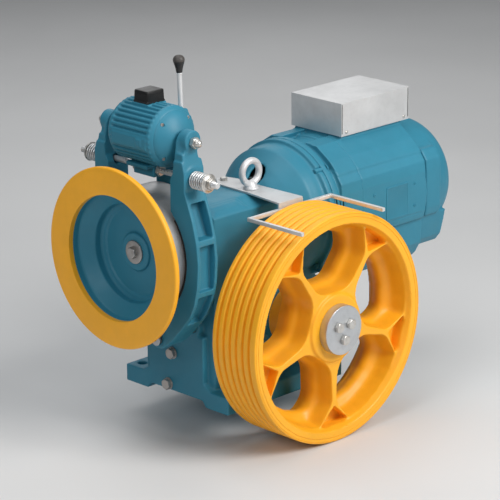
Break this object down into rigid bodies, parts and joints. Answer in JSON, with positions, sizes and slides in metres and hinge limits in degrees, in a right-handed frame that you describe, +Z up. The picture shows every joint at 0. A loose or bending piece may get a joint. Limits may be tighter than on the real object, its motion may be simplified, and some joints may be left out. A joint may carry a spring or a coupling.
{
  "type": "elevator traction machine",
  "caption": "Geared elevator traction machine: motor, worm gearbox, grooved rope sheave, drum brake with release solenoid and hand-turning flywheel on a footed case.",
  "frame": {"origin": "centre of the four base bolt holes on the underside of the feet", "axes": "+X along the motor shaft towards the motor, -Y out of the rope sheave's face, +Z up"},
  "size_m": [1.042, 0.5922, 0.9282],
  "materials": {
    "teal_paint": "satin",
    "yellow_paint": "satin",
    "machined_steel": "satin",
    "zinc_steel": "satin",
    "zinc_sheet": "satin",
    "black_rubber": "matte",
    "black_plastic": "matte",
    "friction_lining": "matte",
    "plug_steel": "satin",
    "core_iron": "satin",
    "copper_winding": "satin",
    "bare_iron": "satin",
    "bronze": "satin",
    "lever_steel": "satin"
  },
  "bodies": {
    "frame": {"gear_housing": "teal_paint", "sheave_side_cover": "teal_paint", "rear_side_cover": "teal_paint", "worm_end_cover": "teal_paint", "case_bolts": "zinc_steel", "worm_bearings": "machined_steel", "wheel_bearings": "machined_steel", "shaft_seals": "black_rubber", "oil_plugs": "plug_steel", "oil_filler_cap": "black_plastic", "guard_bracket": "zinc_sheet", "eye_bolt": "zinc_steel", "rope_guard": "zinc_sheet", "bell_housing": "teal_paint", "motor_frame": "teal_paint", "stator_core": "core_iron", "stator_winding": "copper_winding", "motor_end_cover": "teal_paint", "motor_bearing": "machined_steel", "motor_bolts": "zinc_steel", "terminal_box": "zinc_sheet", "terminal_box_cover": "zinc_sheet", "box_screws": "zinc_steel", "terminal_strip": "black_plastic", "solenoid_bracket": "teal_paint", "solenoid_housing": "teal_paint", "solenoid_cap_left": "teal_paint", "solenoid_cap_right": "teal_paint", "solenoid_coil": "copper_winding", "solenoid_terminal_block": "black_plastic", "brake_pivot_pins": "machined_steel", "spring_rod": "zinc_steel", "rod_nuts": "zinc_steel", "spring_washers": "zinc_steel", "brake_spring_left": "zinc_steel", "brake_spring_right": "zinc_steel"},
    "high_speed_shaft": {"worm_shaft": "machined_steel", "brake_drum": "bare_iron", "flywheel_dish": "teal_paint", "hand_rim": "yellow_paint", "hub_washer": "zinc_steel", "hub_bolt": "zinc_steel", "rotor_core": "core_iron", "cooling_fan": "black_plastic"},
    "low_speed_shaft": {"sheave_shaft": "machined_steel", "worm_wheel_hub": "bare_iron", "worm_wheel_rim": "bronze", "traction_sheave": "yellow_paint", "sheave_key": "machined_steel", "sheave_end_plate": "zinc_steel", "sheave_bolts": "zinc_steel"},
    "arm_right": {"brake_arm_right": "teal_paint", "lining_right": "friction_lining", "adjuster_right": "zinc_steel"},
    "arm_left": {"brake_arm_left": "teal_paint", "lining_left": "friction_lining", "adjuster_left": "zinc_steel"},
    "solenoid_plunger_right": {"plunger_right": "machined_steel"},
    "solenoid_plunger_left": {"plunger_left": "machined_steel"},
    "hand_release": {"release_lever": "lever_steel"}
  },
  "joints": [
    {"name": "high_speed_spin", "type": "hinge", "parent": "frame", "child": "high_speed_shaft", "pos_m": [0, 0, 0.395], "axis": [1, 0, 0], "continuous": true},
    {"name": "sheave_spin", "type": "hinge", "parent": "frame", "child": "low_speed_shaft", "pos_m": [0.017, 0, 0.203], "axis": [0, 1, 0], "continuous": true},
    {"name": "brake_arm_right_pivot", "type": "hinge", "parent": "frame", "child": "arm_right", "pos_m": [-0.269, -0.058, 0.192], "axis": [1, 0, 0], "range_deg": [0, 0.4], "stiffness_Nm_per_rad": 3000, "springref_deg": -1.15, "deforming": ["brake_spring_right", "brake_spring_left"]},
    {"name": "brake_arm_left_pivot", "type": "hinge", "parent": "frame", "child": "arm_left", "pos_m": [-0.269, 0.058, 0.192], "axis": [-1, 0, 0], "range_deg": [0, 0.4]},
    {"name": "plunger_right_slide", "type": "slide", "parent": "frame", "child": "solenoid_plunger_right", "axis": [0, -1, 0], "range_m": [0, 0.00338]},
    {"name": "plunger_left_slide", "type": "slide", "parent": "frame", "child": "solenoid_plunger_left", "axis": [0, 1, 0], "range_m": [0, 0.00338]},
    {"name": "release_lever_tilt", "type": "hinge", "parent": "frame", "child": "hand_release", "pos_m": [-0.204, -0.043, 0.714], "axis": [1, 0, 0], "range_deg": [0, 12.1]}
  ],
  "couplings": [
    {"joint": "sheave_spin", "follows": "high_speed_spin", "ratio": -0.025},
    {"joint": "brake_arm_left_pivot", "follows": "brake_arm_right_pivot", "ratio": 1},
    {"joint": "plunger_right_slide", "follows": "brake_arm_right_pivot", "m_per_rad": 0.483},
    {"joint": "plunger_left_slide", "follows": "brake_arm_right_pivot", "m_per_rad": 0.483},
    {"joint": "release_lever_tilt", "follows": "brake_arm_right_pivot", "ratio": 30}
  ]
}
